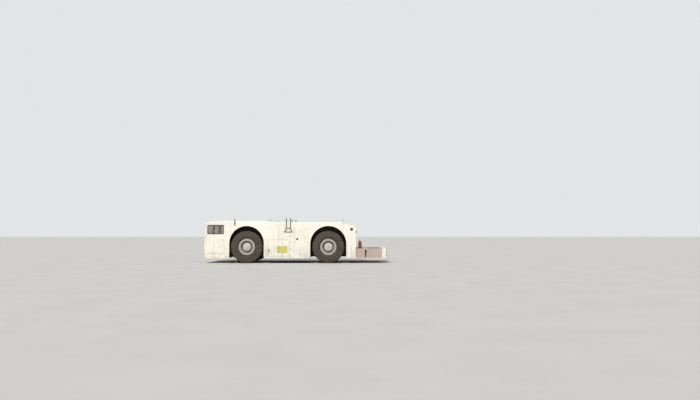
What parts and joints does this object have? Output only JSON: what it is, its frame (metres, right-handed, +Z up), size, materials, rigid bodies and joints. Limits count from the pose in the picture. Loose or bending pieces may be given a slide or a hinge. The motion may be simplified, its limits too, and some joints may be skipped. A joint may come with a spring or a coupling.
{
  "type": "aircraft pushback tractor",
  "caption": "Heavy towbar-type aircraft pushback tractor: slab-sided white body, steered wheels in deep arches, full-width nose cab and a low ballast deck with towing coupling.",
  "frame": {"origin": "on the ground below the middle of the bounding box", "axes": "+X forward to the cab, +Y to the left, +Z up"},
  "size_m": [9.32, 3.1338, 2.2329],
  "materials": {
    "body_paint": "gloss white paint with exhaust and dust grime",
    "deck_paint": "dusty beige-grey paint",
    "dark_steel": "black chassis paint, dusty",
    "bare_steel": "worn steel",
    "wheel_paint": "dusty off-white paint",
    "tyre_rubber": "dusty black rubber",
    "window": "tinted safety glass",
    "seat": "dark vinyl",
    "trim": "dark moulded plastic",
    "lamp": "lamp lenses",
    "extinguisher": "dusty dark red paint",
    "ladder_paint": "worn olive-grey paint"
  },
  "bodies": {
    "tractor": {"chassis_frame": "dark_steel", "side_plates": "body_paint", "deck_plate": "body_paint", "wheel_wells": "dark_steel", "tail_housing": "body_paint", "tail_grille": "trim", "ballast_deck": "deck_paint", "rear_bumper": "body_paint", "front_bumper": "body_paint", "tow_couplings": "bare_steel", "axle_housings": "dark_steel", "engine": "bare_steel", "access_ladders": "ladder_paint", "cab_tub": "body_paint", "cab_front": "body_paint", "cab_roof": "body_paint", "cab_glass": "window", "cab_seats": "seat", "cab_controls": "trim", "lamps": "lamp", "fire_extinguisher": "extinguisher"},
    "cab_door_left": {"door_left": "body_paint", "door_glass_left": "window"},
    "engine_hatch_left": {"hatch_left": "body_paint"},
    "locker_door_left": {"locker_left": "body_paint"},
    "cab_door_right": {"door_right": "body_paint", "door_glass_right": "window"},
    "engine_hatch_right": {"hatch_right": "body_paint"},
    "locker_door_right": {"locker_right": "body_paint"},
    "knuckle_front_left": {"knuckle_front_left": "bare_steel"},
    "wheel_front_left": {"rim_front_left": "wheel_paint", "tyre_front_left": "tyre_rubber"},
    "knuckle_front_right": {"knuckle_front_right": "bare_steel"},
    "wheel_front_right": {"rim_front_right": "wheel_paint", "tyre_front_right": "tyre_rubber"},
    "tie_rod_front": {"tie_rod_front": "bare_steel"},
    "piston_rod_front": {"piston_rod_front": "bare_steel"},
    "knuckle_rear_left": {"knuckle_rear_left": "bare_steel"},
    "wheel_rear_left": {"rim_rear_left": "wheel_paint", "tyre_rear_left": "tyre_rubber"},
    "knuckle_rear_right": {"knuckle_rear_right": "bare_steel"},
    "wheel_rear_right": {"rim_rear_right": "wheel_paint", "tyre_rear_right": "tyre_rubber"},
    "tie_rod_rear": {"tie_rod_rear": "bare_steel"},
    "piston_rod_rear": {"piston_rod_rear": "bare_steel"}
  },
  "joints": [
    {"name": "cab_door_left_hinge", "type": "hinge", "parent": "tractor", "child": "cab_door_left", "pos_m": [4.434, 1.512, 1.2], "axis": [0, 0, -1], "range_deg": [0, 75]},
    {"name": "engine_hatch_left_hinge", "type": "hinge", "parent": "tractor", "child": "engine_hatch_left", "pos_m": [-1.316, 0.704, 2.056], "axis": [-1, 0, 0], "range_deg": [0, 100]},
    {"name": "locker_door_left_hinge", "type": "hinge", "parent": "tractor", "child": "locker_door_left", "pos_m": [0.326, 1.512, 0.75], "axis": [0, 0, 1], "range_deg": [0, 100]},
    {"name": "cab_door_right_hinge", "type": "hinge", "parent": "tractor", "child": "cab_door_right", "pos_m": [4.434, -1.512, 1.2], "axis": [0, 0, 1], "range_deg": [0, 75]},
    {"name": "engine_hatch_right_hinge", "type": "hinge", "parent": "tractor", "child": "engine_hatch_right", "pos_m": [-1.316, -0.704, 2.056], "axis": [1, 0, 0], "range_deg": [0, 100]},
    {"name": "locker_door_right_hinge", "type": "hinge", "parent": "tractor", "child": "locker_door_right", "pos_m": [0.326, -1.512, 0.75], "axis": [0, 0, -1], "range_deg": [0, 100]},
    {"name": "steer_front_left", "type": "hinge", "parent": "tractor", "child": "knuckle_front_left", "pos_m": [2.43, 0.95, 0.8075], "axis": [0, 0, 1], "range_deg": [-28, 28]},
    {"name": "roll_front_left", "type": "hinge", "parent": "knuckle_front_left", "child": "wheel_front_left", "pos_m": [2.43, 1.22, 0.8075], "axis": [0, 1, 0], "continuous": true},
    {"name": "steer_front_right", "type": "hinge", "parent": "tractor", "child": "knuckle_front_right", "pos_m": [2.43, -0.95, 0.8075], "axis": [0, 0, 1], "range_deg": [-28, 28]},
    {"name": "roll_front_right", "type": "hinge", "parent": "knuckle_front_right", "child": "wheel_front_right", "pos_m": [2.43, -1.22, 0.8075], "axis": [0, 1, 0], "continuous": true},
    {"name": "tie_rod_front_joint", "type": "hinge", "parent": "knuckle_front_left", "child": "tie_rod_front", "pos_m": [2.13, 0.95, 0.583], "axis": [0, 0, 1], "range_deg": [-28, 28]},
    {"name": "piston_rod_front_slide", "type": "slide", "parent": "tractor", "child": "piston_rod_front", "axis": [0, 1, 0], "range_m": [-0.11, 0.11]},
    {"name": "steer_rear_left", "type": "hinge", "parent": "tractor", "child": "knuckle_rear_left", "pos_m": [-1.64, 0.95, 0.8075], "axis": [0, 0, 1], "range_deg": [-28, 28]},
    {"name": "roll_rear_left", "type": "hinge", "parent": "knuckle_rear_left", "child": "wheel_rear_left", "pos_m": [-1.64, 1.22, 0.8075], "axis": [0, 1, 0], "continuous": true},
    {"name": "steer_rear_right", "type": "hinge", "parent": "tractor", "child": "knuckle_rear_right", "pos_m": [-1.64, -0.95, 0.8075], "axis": [0, 0, 1], "range_deg": [-28, 28]},
    {"name": "roll_rear_right", "type": "hinge", "parent": "knuckle_rear_right", "child": "wheel_rear_right", "pos_m": [-1.64, -1.22, 0.8075], "axis": [0, 1, 0], "continuous": true},
    {"name": "tie_rod_rear_joint", "type": "hinge", "parent": "knuckle_rear_left", "child": "tie_rod_rear", "pos_m": [-1.34, 0.95, 0.583], "axis": [0, 0, 1], "range_deg": [-28, 28]},
    {"name": "piston_rod_rear_slide", "type": "slide", "parent": "tractor", "child": "piston_rod_rear", "axis": [0, 1, 0], "range_m": [-0.11, 0.11]}
  ],
  "couplings": [
    {"joint": "steer_front_right", "follows": "steer_front_left", "ratio": 1},
    {"joint": "tie_rod_front_joint", "follows": "steer_front_left", "ratio": -1},
    {"joint": "piston_rod_front_slide", "follows": "steer_front_left", "m_per_rad": -0.223},
    {"joint": "steer_rear_right", "follows": "steer_rear_left", "ratio": 1},
    {"joint": "tie_rod_rear_joint", "follows": "steer_rear_left", "ratio": -1},
    {"joint": "piston_rod_rear_slide", "follows": "steer_rear_left", "m_per_rad": 0.223}
  ]
}
